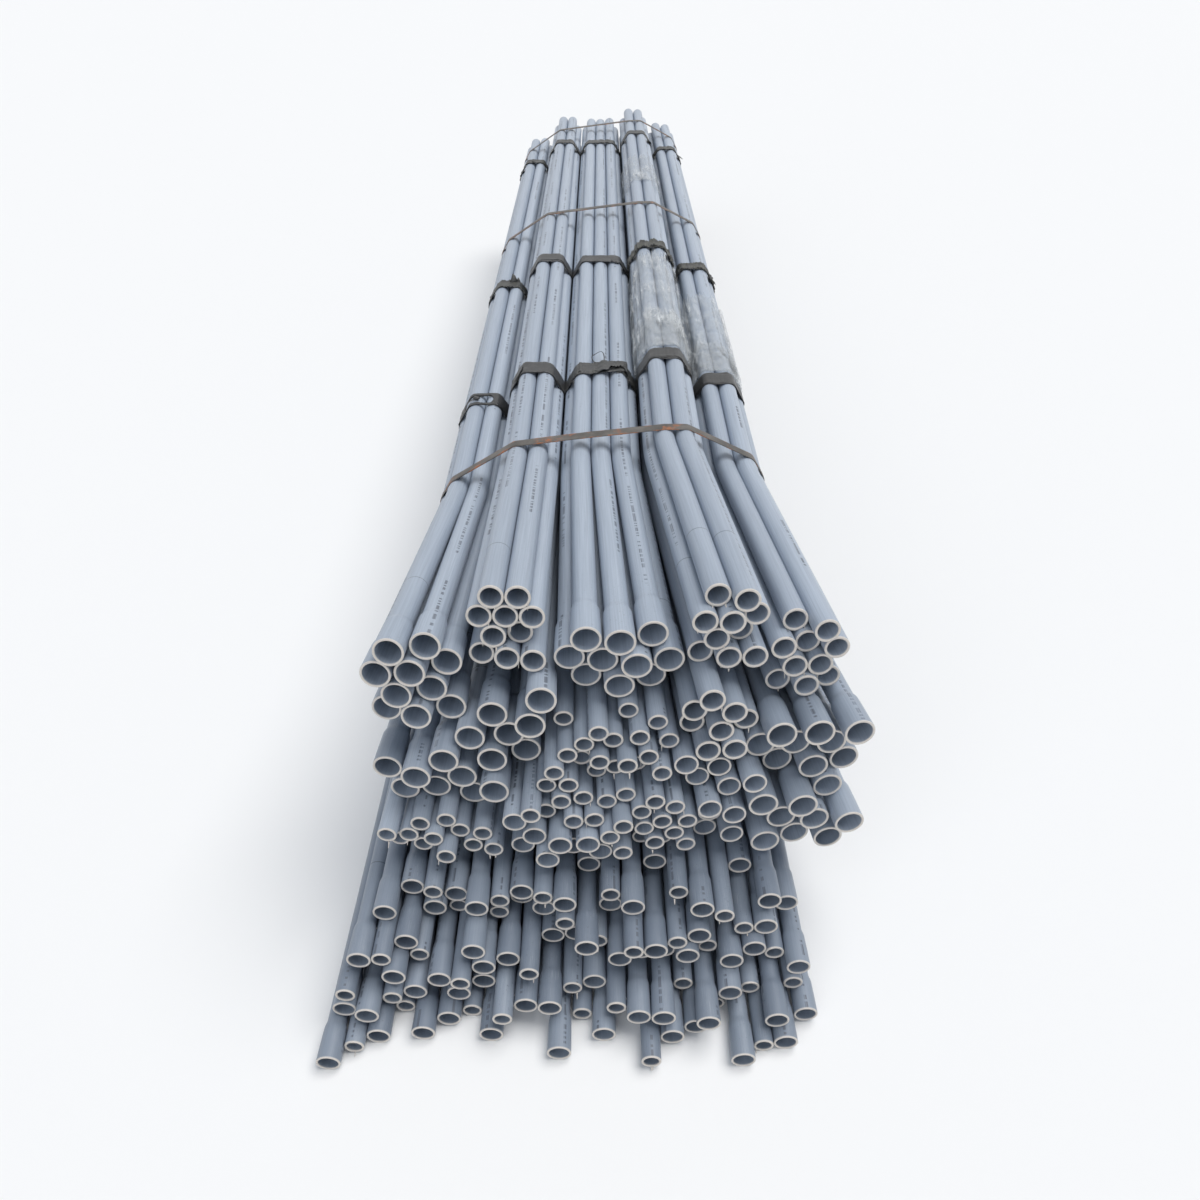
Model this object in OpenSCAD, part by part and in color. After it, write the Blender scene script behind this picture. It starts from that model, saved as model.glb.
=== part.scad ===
// Bundle of rigid PVC electrical conduit. Packs of ten lengths, each taped in three places, are
// strapped together with three steel bands and lie on a spread of loose lengths. Every length has
// one belled end. The lengths run along Y, and the bundle opens out at its -Y end, in front of
// the first band. Lengths are in millimetres.

/* [Conduit] */
// Overall length of one conduit, bell included
conduit_len = 3048; // [2600:1:3400]
// Outside diameter of the larger conduit
large_od = 33.4; // [28:0.1:40]
// Wall of the larger conduit
large_wall = 3.4; // [2:0.1:5]
// Outside diameter of the smaller conduit
small_od = 26.7; // [22:0.1:32]
// Wall of the smaller conduit
small_wall = 2.9; // [1.8:0.1:4]

/* [Bell] */
// Slip clearance of a socket over the conduit that enters it, on the diameter
socket_slip = 0.4; // [0.1:0.1:1]
// Straight depth of a socket, as a share of the conduit's outside diameter
socket_depth_ratio = 1.65; // [1.2:0.05:2]
// Length of the cone that opens the conduit into its bell
bell_cone = 22; // [12:1:30]
// Easing of a socket's inner edge at its mouth
mouth_ease = 0.5; // [0.2:0.1:1]

/* [Steel bands] */
// Width of a steel band
band_w = 19; // [12:1:32]
// Thickness of a steel band
band_t = 0.6; // [0.4:0.1:1.2]
// Distance of the first band behind the topmost near ends
band_first = 480; // [380:10:600]
// Distance of the middle band behind the topmost near ends
band_middle = 1790; // [1600:10:2000]
// Distance of the last band in front of the far ends
band_last = 228; // [188:10:288]

/* [Tape] */
// Width of a band of tape round a pack
tape_w = 50; // [25:1:75]
// Distance of the last bands of tape in front of the far ends
tape_last = 408; // [340:1:480]
// Thickness of the wound tape
tape_t = 0.5; // [0.2:0.1:1]

/* [Film] */
// Thickness of the clear film round two of the packs
film_t = 0.3; // [0.2:0.05:0.5]
// Gap along the pack between the film and the tape beside it
film_clear = 4; // [1:1:20]
// Distance of the shorter film's far edge behind the topmost near ends
film_end = 1250; // [950:10:1380]
// Distance of the scrap of film on the middle pack in front of the last tape
film_scrap = 275; // [10:5:300]
// Length of that scrap
film_scrap_len = 330; // [100:10:400]

/* [Stacking] */
// Air between conduits that lie against each other
lie_gap = 0.3; // [0.2:0.05:0.5]
// Least air between banded conduits, next to what they need for running aslant
banded_gap = 0.1; // [0.05:0.05:0.3]
// How far single conduits of a pack stand out or back at their ends
pack_stagger = 18; // [0:1:22]
// How far single loose conduits stand out or back at their ends
loose_stagger = 50; // [0:1:60]

/* [Hidden] */
$fn = 72;
root3 = sqrt(3);
row_rise = root3 / 2;

// Seeds of the single conduits' stand-outs
loose_seed = 8;
core_seed = 4;

// Sizes: index 0 is the larger conduit, index 1 the smaller one.
LARGE = 0;
SMALL = 1;
od = [large_od, small_od];
id = [large_od - 2 * large_wall, small_od - 2 * small_wall];
socket_id = [for (d = od) d + socket_slip];
bell_thinning = 0.97;
bell_od = [for (s = [LARGE, SMALL]) socket_id[s] + (od[s] - id[s]) * bell_thinning];
socket_depth = [for (d = od) d * socket_depth_ratio];
bell_len = [for (s = [LARGE, SMALL]) socket_depth[s] + bell_cone];

// The x values in the tables below suit conduits of these two diameters, and spread with them
crowd = (large_od + small_od) / (33.4 + 26.7);

// A bell stands at the near (-Y) end or at the far (+Y) end of its conduit.
NEAR = 0;
FAR = 1;

// Planes across the bundle at which neighbours are set against each other
y_front = -130;
// The conduits turn just in front of the first band
knee_room = 2;
y_knee = band_first - band_w / 2 - knee_room;
tape_y = [780, 1420, conduit_len - tape_last];
band_y = [band_first, band_middle, conduit_len - band_last];
wrap = lie_gap + tape_t;

// The banded conduits' bells end in front of this plane
y_bells = 75;
// A conduit that leans away from Y fills more of a plane across it. Each one is laid as if it leant
// by this angle, and laid again where it turns out to lean by more.
usual_lean = 9.5;
lean_margin = 0.3;

// ---- heaps of single conduits -------------------------------------------------------------

// Conduits heaped inside the bands, from the bottom up: size, whether the near ends are belled, how
// many, the left and right limit of the heap in x at the first band, and how far the near ends
// stand behind the topmost ones
HEAPS = [
  [SMALL, true,   8, -120,   -5, -115],
  [SMALL, false, 12, -270, -118, -100],
  [SMALL, false, 10, -100,   20, -105],
  [SMALL, false, 12,  -15,   95,  -95],
  [LARGE, true,   8,  165,  288,  -85],
  [SMALL, true,  10,   75,  176,  -85],
  [LARGE, true,  10,  158,  286,  -60],
  [SMALL, false, 13,  -85,   80,  -70],
  [LARGE, true,  10, -276, -116,  -65],
  [LARGE, false,  8,   75,  178,  -60],
  [SMALL, false,  7,  -62,   66,  -50],
  [LARGE, true,   5, -146,  -62,  -45],
];

// ---- packs of ten -------------------------------------------------------------------------

// Rows of a pack, from the bottom: how many conduits, and where the row starts, in pitches
FLAT_TEN = [[3, 0], [4, -0.5], [3, 0]];
TALL_TEN = [[3, 0], [2, 0.5], [3, 0], [2, 0.5]];

// Taped packs on top of the heaps: size, whether its near ends are belled, rows, turn in degrees,
// middle in x at the near ends and behind the first band, and how far its near ends stand behind
// the topmost ones
PACKS = [
  [LARGE, true,  TALL_TEN,   0, -238, -219, -30],
  [LARGE, false, TALL_TEN,   0, -114, -115,  -5],
  [LARGE, true,  FLAT_TEN,   0,   36,    7, -15],
  [LARGE, false, TALL_TEN,   0,  178,  129, -10],
  [LARGE, false, TALL_TEN,   0,  284,  233,  -5],
];

function size_of(p) = PACKS[p][0];
function belled(p) = PACKS[p][1];
function reach(p) = PACKS[p][6];

function sum(v, i = 0) = i >= len(v) ? v[0] * 0 : v[i] + sum(v, i + 1);
function mean(v) = sum(v) / len(v);
function spin(v, a) = [v[0] * cos(a) - v[1] * sin(a), v[0] * sin(a) + v[1] * cos(a)];
function blend(a, b, t) = a + (b - a) * t;

// Places of a pack's conduits round its middle, in pitches
function patch(rows) =
  let (raw = [for (r = [0:len(rows) - 1]) for (c = [0:rows[r][0] - 1]) [rows[r][1] + c, r * row_rise]],
       mid = mean(raw))
  [for (q = raw) q - mid];

// Middles of the patch's outer sides, which stand for the wrap that spans from conduit to conduit.
// A side inside the patch has a neighbour on both sides, so four conduits touch the pair.
next_to = 1.01;
inside = 4;
function side_middles(q) = [for (i = [0:len(q) - 2]) for (j = [i + 1:len(q) - 1])
  if (norm(q[i] - q[j]) < next_to &&
      len([for (k = q) if (norm(k - q[i]) < next_to && norm(k - q[j]) < next_to) k]) < inside)
    (q[i] + q[j]) / 2];

SPOTS = [for (p = PACKS) [for (q = patch(p[2])) spin(q, p[3])]];
SIDES = [for (q = SPOTS) side_middles(q)];

// Pitch of a pack's conduits at plane y: tight from the first band on, and opened to clear the bells
function pitch(p, y, lean) =
  let (s = size_of(p), tight = od[s] / cos(lean) + banded_gap, wide = bell_od[s] / cos(lean) + banded_gap,
       shoulder_y = reach(p) + pack_stagger + bell_len[s])
  belled(p) && y < y_knee ? blend(tight, wide, (y_knee - y) / (y_knee - shoulder_y)) : tight;

// Radius that a pack's conduits fill at plane y
function pack_radius(p, y, lean) =
  let (s = size_of(p))
  (belled(p) && y < y_bells ? bell_od[s] : od[s]) / 2 / cos(lean);
function taped(y) = len([for (t = tape_y) if (t == y) t]) > 0;

y_back = conduit_len + pack_stagger;

// A value known at the front, at the knee and at the back, read at plane y
function along(v, y) =
  y < y_knee ? blend(v[1], v[0], (y_knee - y) / (y_knee - y_front))
             : blend(v[1], v[2], (y - y_knee) / (y_back - y_knee));

// ---- loose conduits -----------------------------------------------------------------------

// Rows of loose conduits, from the floor: how many, the x of the row's left side at the near and
// at the far ends, and how far its near ends stand behind the topmost ones
LOOSE_ROWS = [
  [22, -372, -350, -265],
  [21, -358, -335, -235],
  [21, -350, -335, -205],
  [20, -335, -320, -175],
  [18, -305, -295, -145],
];
loose_room = loose_stagger + 10;
y_loose_front = LOOSE_ROWS[0][3] - loose_room;
y_loose_back = LOOSE_ROWS[len(LOOSE_ROWS) - 1][3] + conduit_len + loose_room;
LOOSE = [for (r = [0:len(LOOSE_ROWS) - 1]) for (c = [0:LOOSE_ROWS[r][0] - 1]) [r, c]];
function loose_bell_near(r, c) = (5 * c + 3 * r) % 8 < 5;
function loose_d(r, c, end) = (loose_bell_near(r, c) == (end == NEAR) ? bell_od[SMALL] : od[SMALL]) + lie_gap;
function row_x(r, c, end) =
  c < 0 ? LOOSE_ROWS[r][1 + end] * crowd : row_x(r, c - 1, end) + loose_d(r, c, end);
function loose_x(r, c, end) = row_x(r, c, end) - loose_d(r, c, end) / 2;
LOOSE_X = [for (k = LOOSE) [loose_x(k[0], k[1], NEAR), loose_x(k[0], k[1], FAR)]];
LOOSE_OUT = let (d = rands(-loose_stagger, loose_stagger, len(LOOSE), loose_seed))
  [for (i = [0:len(LOOSE) - 1]) LOOSE_ROWS[LOOSE[i][0]][3] + d[i]];

function loose_at(v, y) = blend(v[0], v[1], (y - y_loose_front) / (y_loose_back - y_loose_front));
function loose_radius(i, y) =
  let (b = bell_len[SMALL], near = loose_bell_near(LOOSE[i][0], LOOSE[i][1]))
  (near && y < LOOSE_OUT[i] + b || !near && y > LOOSE_OUT[i] + conduit_len - b
   ? bell_od[SMALL] : od[SMALL]) / 2;

// Planes at which the loose conduits are set against each other: close together at both ends
end_planes = 6;
plane_step = 40;
LOOSE_PLANES = concat([for (n = [0:end_planes]) y_loose_front + n * plane_step], [500, 1100, 1700, 2300],
                      [for (n = [end_planes:-1:0]) y_loose_back - n * plane_step]);

// Lowest middle height at which a circle clears the placed circles, or the floor
function rest_height(x, r, placed, gap) =
  max(concat([r], [for (c = placed)
    let (reach = r + c[2] + gap, dx = abs(x - c[0]))
    if (dx < reach) c[1] + sqrt(reach * reach - dx * dx)]));

// Heights of every loose conduit at the front and at the back, each one laid on those before it
function lay_loose(i = 0, laid = []) =
  i >= len(LOOSE) ? laid :
  let (
    need = [for (n = [0:len(LOOSE_PLANES) - 1])
      let (y = LOOSE_PLANES[n])
      rest_height(loose_at(LOOSE_X[i], y), loose_radius(i, y),
                  [for (j = [0:1:i - 1]) if (abs(LOOSE_X[i][0] - LOOSE_X[j][0]) < 2 * bell_od[SMALL])
                    [loose_at(LOOSE_X[j], y), loose_at(laid[j], y), loose_radius(j, y)]], lie_gap)],
    last = len(need) - 1,
    front = max([for (n = [0:end_planes]) need[n]]),
    back = max([for (n = [last - end_planes:last]) need[n]]),
    lift = max([for (n = [0:last]) need[n] - loose_at([front, back], LOOSE_PLANES[n])])
  )
  lay_loose(i + 1, concat(laid, [[front + lift, back + lift]]));

LOOSE_Z = lay_loose();

// ---- planes and the table that the loose conduits make -------------------------------------

FRONT_PLANES = [y_front, -30, 70, 160, 240, 320, 400];
PACK_PLANES = concat(FRONT_PLANES, [y_knee], tape_y, [y_back]);
KNEE_PLANE = len(FRONT_PLANES);
// Raises the height at the front and at the back of z until it clears every plane between
function raised(z, need) =
  let (last = len(PACK_PLANES) - 1,
       front = max([for (n = [0:KNEE_PLANE - 1])
         (need[n] - along(z, PACK_PLANES[n])) * (y_knee - y_front) / (y_knee - PACK_PLANES[n])]),
       back = max([for (n = [KNEE_PLANE + 1:last])
         (need[n] - along(z, PACK_PLANES[n])) * (y_back - y_knee) / (PACK_PLANES[n] - y_knee)]))
  [z[0] + front, z[1], z[2] + back];

// Flat top of the loose conduits, which carries the band under the packs
function loose_top(y) = max([for (i = [0:len(LOOSE) - 1])
  if (LOOSE_OUT[i] + conduit_len > y) loose_at(LOOSE_Z[i], y) + loose_radius(i, y)]);
band_room = band_t + 2 * lie_gap;
TABLE_KNEE = loose_top(y_knee) + band_room;
table_slope_front = max([for (y = FRONT_PLANES) (loose_top(y) + band_room - TABLE_KNEE) / (y_knee - y)]);
y_table_end = y_loose_back - 2 * loose_room;
table_slope_back = max([for (y = [tape_y[0], tape_y[1], band_middle, tape_y[2], y_table_end])
  (loose_top(y) + band_room - TABLE_KNEE) / (y - y_knee)]);
function table(y) =
  TABLE_KNEE + (y < y_knee ? table_slope_front * (y_knee - y) : table_slope_back * (y - y_knee));

// Circles of pack p at plane y round its middle: x, height, radius. At a tape they take in the wrap,
// and the side middles count too.
function pack_circles(p, y, lean) =
  let (s = pitch(p, y, lean), r = pack_radius(p, y, lean) + (taped(y) ? wrap : 0),
       spots = taped(y) ? concat(SPOTS[p], SIDES[p]) : SPOTS[p])
  [for (q = spots) [s * q[0], s * q[1], r]];

// Lowest height for a pack's middle at x where its circles clear the table and the placed circles
function pack_need(circles, x, placed, y) =
  max([for (c = circles) max(concat([table(y) + c[2] - c[1]], [for (b = placed)
    let (clear = c[2] + b[2] + banded_gap, dx = abs(x + c[0] - b[0]))
    if (dx < clear) b[1] + sqrt(clear * clear - dx * dx) - c[1]]))]);

// ---- resting the heaps --------------------------------------------------------------------

// How far the heaps open out from the first band to the near ends, and how far they lean to +X
near_spread = 1.17;
near_shift = 24;
near_search = 9;
near_weight = 0.2;

CORE = [for (h = [0:len(HEAPS) - 1]) for (n = [1:HEAPS[h][2]]) h];
CORE_OUT = let (d = rands(-pack_stagger, pack_stagger, len(CORE), core_seed))
  [for (i = [0:len(CORE) - 1]) HEAPS[CORE[i]][5] + d[i]];
function core_size(i) = HEAPS[CORE[i]][0];
function core_belled(i) = HEAPS[CORE[i]][1];
function core_radius(i, y, lean) =
  let (s = core_size(i))
  (core_belled(i) && y < y_bells ? bell_od[s] : od[s]) / 2 / cos(lean);

search_step = 3;
function lowest(v, i = 1, best = 0) =
  i >= len(v) ? v[best][1] : lowest(v, i + 1, v[i][0] < v[best][0] ? i : best);

// Lean from the knee to the front of what moves by x and z on the way
function lean_of(x, z) = atan(norm([x, z]) / (y_knee - y_front));

// Middles in x and heights of a heaped conduit at the front, at the knee and at the back, in the
// lowest place that its heap has left at the first band
function core_seat(i, placed, lean) =
  let (
    h = HEAPS[CORE[i]], r = od[h[0]] / 2 / cos(lean), last = len(PACK_PLANES) - 1,
    left = h[3] * crowd, right = h[4] * crowd,
    around = [for (c = placed[KNEE_PLANE]) if (c[0] > left - 2 * r && c[0] < right + 2 * r) c],
    knee_x = lowest([for (x = [left + r:search_step:right - r])
      [max(table(y_knee) + r, rest_height(x, r, around, banded_gap)), x]]),
    level = function(x, n) let (y = PACK_PLANES[n], rn = core_radius(i, y, lean), at = along(x, y))
      max(table(y) + rn, rest_height(at, rn, placed[n], banded_gap)),
    knee_z = level([knee_x, knee_x, knee_x], KNEE_PLANE),
    front_x = lowest([for (d = [-near_search:search_step:near_search])
      let (at = near_spread * knee_x + near_shift * crowd + d, x = [at, knee_x, knee_x])
      [max([for (n = [0:KNEE_PLANE - 1])
         knee_z + (level(x, n) - knee_z) * (y_knee - y_front) / (y_knee - PACK_PLANES[n])])
         + near_weight * abs(d), at]]),
    x = [front_x, knee_x, knee_x],
    need = [for (n = [0:last]) level(x, n)],
    mine = raised([need[0], need[KNEE_PLANE], need[last]], need),
    own = lean_of(x[0] - x[1], mine[0] - mine[1])
  )
  own > lean ? core_seat(i, placed, own + lean_margin) : [x, mine, lean];

function lay_core(i = 0, seats = [], placed = [for (y = PACK_PLANES) []]) =
  i >= len(CORE) ? [seats, placed] :
  let (
    seat = core_seat(i, placed, usual_lean),
    all = [for (n = [0:len(PACK_PLANES) - 1]) let (y = PACK_PLANES[n])
      concat(placed[n], [[along(seat[0], y), along(seat[1], y), core_radius(i, y, seat[2])]])]
  )
  lay_core(i + 1, concat(seats, [seat]), all);

LAID_CORE = lay_core();
CORE_SEATS = LAID_CORE[0];

function core_point(i, y) = [along(CORE_SEATS[i][0], y), y, along(CORE_SEATS[i][1], y)];

// ---- resting the packs --------------------------------------------------------------------

// Middles in x and heights of a pack at the front, at the knee and at the back
function pack_seat(p, placed, lean) =
  let (
    circles = [for (y = PACK_PLANES) pack_circles(p, y, lean)],
    last = len(PACK_PLANES) - 1,
    x = [PACKS[p][4], PACKS[p][5], PACKS[p][5]] * crowd,
    need = [for (n = [0:last]) pack_need(circles[n], along(x, PACK_PLANES[n]), placed[n], PACK_PLANES[n])],
    first = [need[0], need[KNEE_PLANE], need[last]],
    lift = max([for (n = [KNEE_PLANE:last]) need[n] - along(first, PACK_PLANES[n])]),
    mine = raised([need[0], need[KNEE_PLANE] + lift, need[last] + lift], need),
    opened = pitch(p, y_front, lean) - pitch(p, y_knee, lean),
    own = max([for (q = SPOTS[p])
      lean_of(x[0] - x[1] + opened * q[0], mine[0] - mine[1] + opened * q[1])])
  )
  own > lean ? pack_seat(p, placed, own + lean_margin) : [x, mine, lean];

function lay_packs(p = 0, seats = [], placed = LAID_CORE[1]) =
  p >= len(PACKS) ? seats :
  let (
    seat = pack_seat(p, placed, usual_lean),
    all = [for (n = [0:len(PACK_PLANES) - 1]) let (y = PACK_PLANES[n])
      concat(placed[n], [for (c = pack_circles(p, y, seat[2]))
        [along(seat[0], y) + c[0], c[1] + along(seat[1], y), c[2]]])]
  )
  lay_packs(p + 1, concat(seats, [seat]), all);

SEATS = lay_packs();

// Middle of conduit k of pack p at plane y
function pack_point(p, k, y) =
  let (s = pitch(p, y, SEATS[p][2]))
  [along(SEATS[p][0], y) + s * SPOTS[p][k][0], y, along(SEATS[p][1], y) + s * SPOTS[p][k][1]];
PACK_OUT = [for (p = [0:len(PACKS) - 1])
  [for (d = rands(-pack_stagger, pack_stagger, 10, 40 + p)) reach(p) + d]];

// ---- where everything ends ----------------------------------------------------------------

function unit(v) = v / norm(v);

// Near and far end of a conduit that runs through points far, knee and near, with its near end at y
function near_end(knee, near, y) = knee + (near - knee) * (knee[1] - y) / (knee[1] - near[1]);
function far_end(knee, far, near) = knee + (conduit_len - norm(near - knee)) * unit(far - knee);

CORE_NEAR = [for (i = [0:len(CORE) - 1])
  near_end(core_point(i, y_knee), core_point(i, y_front), CORE_OUT[i])];
CORE_FAR = [for (i = [0:len(CORE) - 1])
  far_end(core_point(i, y_knee), core_point(i, y_back), CORE_NEAR[i])];
PACK_NEAR = [for (p = [0:len(PACKS) - 1]) [for (k = [0:9])
  near_end(pack_point(p, k, y_knee), pack_point(p, k, y_front), PACK_OUT[p][k])]];
PACK_FAR = [for (p = [0:len(PACKS) - 1]) [for (k = [0:9])
  far_end(pack_point(p, k, y_knee), pack_point(p, k, y_back), PACK_NEAR[p][k])]];
function loose_point(i, y) = [loose_at(LOOSE_X[i], y), y, loose_at(LOOSE_Z[i], y)];
LOOSE_NEAR = [for (i = [0:len(LOOSE) - 1]) loose_point(i, LOOSE_OUT[i])];
LOOSE_FAR = [for (i = [0:len(LOOSE) - 1])
  LOOSE_NEAR[i] + conduit_len * unit(loose_point(i, y_loose_back) - LOOSE_NEAR[i])];

// Middle of the bundle's footprint, which becomes the origin
loose_edge = [for (i = [0:len(LOOSE) - 1]) for (e = [LOOSE_NEAR[i], LOOSE_FAR[i]])
  [e[0], loose_radius(i, e[1])]];
core_edge = [for (i = [0:len(CORE) - 1]) [CORE_NEAR[i][0], core_radius(i, y_front, 0)]];
pack_edge = [for (p = [0:len(PACKS) - 1]) for (q = PACK_NEAR[p]) [q[0], pack_radius(p, y_front, 0)]];
edges = concat(loose_edge, core_edge, pack_edge);
all_near_y = concat([for (q = LOOSE_NEAR) q[1]], CORE_OUT);
all_far_y = concat([for (q = LOOSE_FAR) q[1]], [for (q = CORE_FAR) q[1]],
                   [for (p = PACK_FAR) for (q = p) q[1]]);
x_middle = (min([for (e = edges) e[0] - e[1]]) + max([for (e = edges) e[0] + e[1]])) / 2;
y_middle = (min(all_near_y) + max(all_far_y)) / 2;

// ---- sub-parts ----------------------------------------------------------------------------

PVC = "#9aa6b4";
STEEL = "#6f6862";
BLACK = "#33363a";
CLEAR = "#dfe6ea";

// Straight conduit from z = 0 up to l, with its bell at the top where bell is true
module straight(s, l, bell) {
  b = bell ? l - bell_len[s] : l;
  c = b + bell_cone;
  rotate_extrude()
    polygon(bell
      ? [[id[s], 0] / 2, [od[s], 0] / 2, [od[s] / 2, b], [bell_od[s] / 2, c], [bell_od[s] / 2, l],
         [socket_id[s] / 2 + mouth_ease, l], [socket_id[s] / 2, l - mouth_ease],
         [socket_id[s] / 2, c], [id[s] / 2, b]]
      : [[id[s], 0] / 2, [od[s], 0] / 2, [od[s] / 2, l], [id[s] / 2, l]]);
}

// Puts its children at point a, with their +Z along direction d
module aim(a, d) {
  translate(a) rotate([0, acos(d[2]), atan2(d[1], d[0])]) children();
}

// Takes its children to point at, with their +X along x and their +Z along z
module set_in(at, x, z) {
  y = cross(z, x);
  multmatrix([[x[0], y[0], z[0], at[0]], [x[1], y[1], z[1], at[1]], [x[2], y[2], z[2], at[2]]])
    children();
}

// Half of a mitred conduit: it leaves the plane z = 0 leaning towards +X by the angle lean
module leg(s, l, lean, bell) {
  over = 2 * od[s];
  difference() {
    rotate([0, lean, 0]) translate([0, 0, -over]) straight(s, l + over, bell);
    translate([-2, -2, -4] * over) cube(4 * over);
  }
}

// A banded conduit from its far end to its near end, mitred where it turns at the knee
module banded_conduit(s, far, knee, near, belled) {
  to_far = unit(far - knee);
  to_near = unit(near - knee);
  lean = asin(norm(to_near + to_far) / 2);
  set_in(knee, unit(to_near + to_far), unit(to_near - to_far)) {
    leg(s, norm(near - knee), lean, belled);
    mirror([0, 0, 1]) leg(s, norm(far - knee), lean, false);
  }
}

module centred() {
  translate([-x_middle, -y_middle, 0]) children();
}

module heap(h) {
  color(PVC) centred() for (i = [0:len(CORE) - 1]) if (CORE[i] == h)
    banded_conduit(core_size(i), CORE_FAR[i], core_point(i, y_knee), CORE_NEAR[i], core_belled(i));
}

module taped_pack(p) {
  color(PVC) centred() for (k = [0:9])
    banded_conduit(size_of(p), PACK_FAR[p][k], pack_point(p, k, y_knee), PACK_NEAR[p][k], belled(p));
}

module loose_row(r) {
  color(PVC) centred() for (i = [0:len(LOOSE) - 1]) if (LOOSE[i][0] == r) {
    near = LOOSE_NEAR[i];
    far = LOOSE_FAR[i];
    turned = loose_bell_near(LOOSE[i][0], LOOSE[i][1]);
    aim(turned ? far : near, turned ? unit(near - far) : unit(far - near))
      straight(SMALL, conduit_len, true);
  }
}

// A closed loop of thickness t and width w, drawn tight round circles at plane y and square to the
// banded conduits
module loop(circles, y, w, t) {
  translate([0, y, 0]) rotate([90 + fall, 0, 0]) linear_extrude(w, center = true) difference() {
    hull() for (c = circles) translate([c[0], c[1]]) circle(c[2] + lie_gap + t, $fn = 36);
    hull() for (c = circles) translate([c[0], c[1]]) circle(c[2] + lie_gap, $fn = 36);
  }
}

// Fall of the banded conduits behind the first band, in degrees
fall = atan2(SEATS[0][1][2] - SEATS[0][1][1], y_back - y_knee);

function pack_ring(p, y) = [for (k = [0:9]) let (q = pack_point(p, k, y)) [q[0], q[2], od[size_of(p)] / 2]];
function banded_ring(y) = concat(
  [for (i = [0:len(CORE) - 1]) let (q = core_point(i, y)) [q[0], q[2], od[core_size(i)] / 2]],
  [for (p = [0:len(PACKS) - 1]) for (c = pack_ring(p, y)) c]);

module steel_band(b) {
  color(STEEL) centred() loop(banded_ring(band_y[b]), band_y[b], band_w, band_t);
}

module pack_tapes(p) {
  color(BLACK) centred() for (y = tape_y) loop(pack_ring(p, y), y, tape_w, tape_t);
}

// Film round pack p from plane a to plane b
module film_sleeve(p, a, b) {
  color(CLEAR, 0.5) centred() loop(pack_ring(p, (a + b) / 2), (a + b) / 2, b - a, film_t);
}

module films() {
  film_sleeve(3, tape_y[0] + tape_w / 2 + film_clear, tape_y[1] - tape_w / 2 - film_clear);
  film_sleeve(4, tape_y[0] + tape_w / 2 + film_clear, film_end);
  scrap_far = tape_y[2] - tape_w / 2 - film_scrap;
  film_sleeve(3, scrap_far - film_scrap_len, scrap_far);
}

heap(0);  // belled_small_bottom
heap(1);  // plain_small_left
heap(2);  // plain_small_bottom
heap(3);  // plain_small_centre
heap(4);  // belled_large_right_low
heap(5);  // belled_small_right
heap(6);  // belled_large_right_high
heap(7);  // plain_small_middle
heap(8);  // belled_large_left
heap(9);  // plain_large_middle
heap(10);  // plain_small_top
heap(11);  // belled_large_shoulder
taped_pack(0);  // taped_pack_flank
taped_pack(1);  // taped_pack_left
taped_pack(2);  // taped_pack_centre
taped_pack(3);  // taped_pack_middle
taped_pack(4);  // taped_pack_right
loose_row(0);  // loose_row_1
loose_row(1);  // loose_row_2
loose_row(2);  // loose_row_3
loose_row(3);  // loose_row_4
loose_row(4);  // loose_row_5
steel_band(0);  // steel_band_front
steel_band(1);  // steel_band_middle
steel_band(2);  // steel_band_rear
pack_tapes(0);  // tape_flank
pack_tapes(1);  // tape_left
pack_tapes(2);  // tape_centre
pack_tapes(3);  // tape_middle
pack_tapes(4);  // tape_right
films();  // film_sleeves
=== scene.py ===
"""Looks of a banded bundle of rigid PVC conduit: the lengths with their saw burrs and bells, the tape,
the steel bands and the clear film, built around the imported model. Lengths are in metres."""

import math

import bpy
import numpy as np
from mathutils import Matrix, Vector


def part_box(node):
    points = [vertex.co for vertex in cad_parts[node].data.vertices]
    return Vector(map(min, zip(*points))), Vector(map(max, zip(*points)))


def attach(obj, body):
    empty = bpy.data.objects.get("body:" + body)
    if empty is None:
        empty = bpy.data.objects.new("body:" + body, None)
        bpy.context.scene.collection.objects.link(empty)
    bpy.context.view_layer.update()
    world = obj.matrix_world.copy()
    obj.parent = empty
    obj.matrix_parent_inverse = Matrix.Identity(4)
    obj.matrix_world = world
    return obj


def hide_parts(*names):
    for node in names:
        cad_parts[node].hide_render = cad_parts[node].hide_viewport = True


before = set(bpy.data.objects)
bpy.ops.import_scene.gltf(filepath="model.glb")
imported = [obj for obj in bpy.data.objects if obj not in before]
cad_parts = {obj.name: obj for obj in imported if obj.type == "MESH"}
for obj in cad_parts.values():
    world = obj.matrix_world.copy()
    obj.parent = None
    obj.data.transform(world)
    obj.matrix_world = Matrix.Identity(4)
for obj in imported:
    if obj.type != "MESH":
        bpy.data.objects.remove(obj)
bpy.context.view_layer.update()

# ---- sizes ------------------------------------------------------------------------------------

END_WINDOW = 0.012      # points this near to each other along Y belong to one ring of a conduit
BEND = 0.032            # the bend at the first band runs this far to both sides
BELL_STRAIGHT = 1.65    # straight depth of a socket, in outside diameters
BELL_CONE = 0.022       # length of the cone behind it
SHOULDER = 0.014        # the part of it in which a bell's outside narrows
BELL_GROWTH = 0.0007    # a bell is this much narrower in radius at its shoulder than at its mouth
RIM = 0.0007            # rounding of a rim
CREAM = 0.0011          # the pale saw cut reaches this far round the edge
BEND_RINGS_OUT = 7      # rings round the bend outside, and inside, where it hardly shows
BEND_RINGS_IN = 3
RUN_START = 0.02        # a run's own rings keep this far from its ends' ones
LARGE_RADIUS = 0.015    # a conduit thicker than this has the larger number of sides
SIDES_LARGE, SIDES_SMALL = 36, 30
BURR_NEAR, BURR_FAR = 0.0005, 0.0004    # height of the ragged lip round a sawn end
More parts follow.
